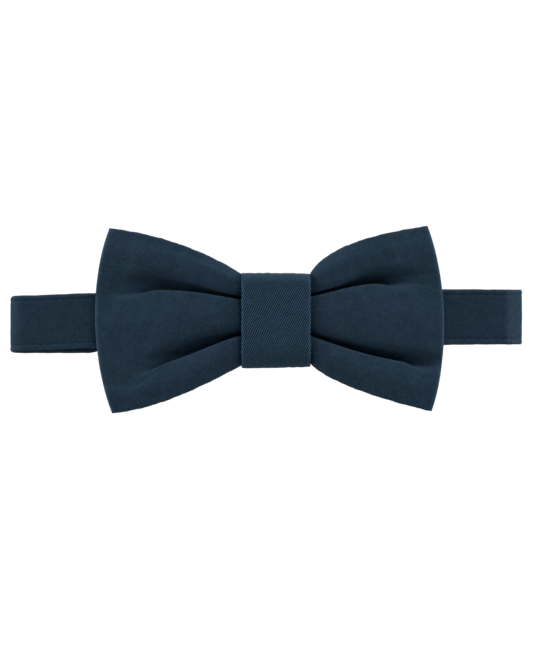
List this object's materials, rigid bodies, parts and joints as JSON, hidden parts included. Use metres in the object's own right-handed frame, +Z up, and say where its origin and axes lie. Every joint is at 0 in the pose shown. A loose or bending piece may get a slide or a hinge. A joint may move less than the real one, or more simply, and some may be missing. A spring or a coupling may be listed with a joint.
{
  "type": "bow tie",
  "caption": "Ready-tied bow tie: two pleated twill wings gathered in a wrapped knot, on a flat adjustable neck band with a metal hook, eye and slider behind.",
  "frame": {"origin": "the knot's centre across and up, on the wearer's side of the neck band's front run, where the band lies on the collar", "axes": "+X to the right as a facing person sees it, along the band; +Y towards the wearer; +Z up as worn"},
  "size_m": [0.1763, 0.0248, 0.0644],
  "materials": {
    "bow_twill": "fine twill, soft sheen",
    "knot_twill": "fine twill, steep wale",
    "band_twill": "fine twill",
    "canvas": "raw interlining canvas",
    "thread": "matte sewing thread",
    "steel": "nickel-plated, satin"
  },
  "bodies": {
    "band_front": {"band_front_sleeve": "band_twill", "band_front_interlining": "canvas", "band_front_topstitch": "thread"},
    "left_fold": {"left_fold_sleeve": "band_twill", "left_fold_interlining": "canvas"},
    "left_tail": {"left_tail_sleeve": "band_twill", "left_tail_interlining": "canvas", "left_tail_topstitch": "thread", "hook_loop": "band_twill", "hook_bartack": "thread"},
    "hook": {"hook": "steel"},
    "right_fold": {"right_fold_sleeve": "band_twill", "right_fold_interlining": "canvas"},
    "right_tail": {"right_tail_sleeve": "band_twill", "right_tail_interlining": "canvas", "right_tail_topstitch": "thread"},
    "eye_end": {"eye_loop": "band_twill"},
    "eye": {"eye": "steel"},
    "slider": {"slider": "steel", "slider_wrap": "band_twill", "slider_bartack": "thread", "return_run_sleeve": "band_twill", "return_run_interlining": "canvas"},
    "bow": {"bow_front_cloth": "bow_twill", "bow_interlining": "canvas", "left_wing_back_cloth": "bow_twill", "right_wing_back_cloth": "bow_twill", "waist_binding_thread": "thread", "knot_wrap": "knot_twill", "knot_interlining": "canvas", "knot_hand_stitches": "thread"}
  },
  "joints": [
    {"name": "left_tail_hinge", "type": "hinge", "parent": "left_fold", "child": "left_tail", "pos_m": [-0.0878, 0.0054, 0], "axis": [0, 0, 1], "range_deg": [0, 90], "deforming": ["left_fold_sleeve", "left_fold_interlining"]},
    {"name": "left_fold_hinge", "type": "hinge", "parent": "band_front", "child": "left_fold", "pos_m": [-0.0878, -0.0006, 0], "axis": [0, 0, 1], "range_deg": [0, 90]},
    {"name": "hook_tilt", "type": "hinge", "parent": "left_tail", "child": "hook", "pos_m": [-0.045, 0.00665, 0], "axis": [0, 0, 1], "range_deg": [-10, 75]},
    {"name": "right_tail_hinge", "type": "hinge", "parent": "right_fold", "child": "right_tail", "pos_m": [0.0787, 0.0106, 0], "axis": [0, 0, -1], "range_deg": [0, 90], "deforming": ["right_fold_sleeve", "right_fold_interlining"]},
    {"name": "right_fold_hinge", "type": "hinge", "parent": "band_front", "child": "right_fold", "pos_m": [0.0787, -0.0006, 0], "axis": [0, 0, -1], "range_deg": [0, 90]},
    {"name": "eye_slide", "type": "slide", "parent": "right_tail", "child": "eye_end", "axis": [-1, 0, 0], "range_m": [0, 0.054]},
    {"name": "slider_slide", "type": "slide", "parent": "eye_end", "child": "slider", "axis": [-1, 0, 0], "range_m": [0, 0.054], "deforming": ["return_run_sleeve", "return_run_interlining"]},
    {"name": "eye_tilt", "type": "hinge", "parent": "eye_end", "child": "eye", "pos_m": [-0.02085, 0.01245, 0], "axis": [0, 0, -1], "range_deg": [-20, 75]},
    {"name": "bow_slide", "type": "slide", "parent": "band_front", "child": "bow", "axis": [1, 0, 0], "range_m": [-0.008, 0.008]}
  ],
  "couplings": [
    {"joint": "left_fold_hinge", "follows": "left_tail_hinge", "ratio": 1},
    {"joint": "right_fold_hinge", "follows": "right_tail_hinge", "ratio": 1},
    {"joint": "slider_slide", "follows": "eye_slide", "ratio": 1}
  ]
}
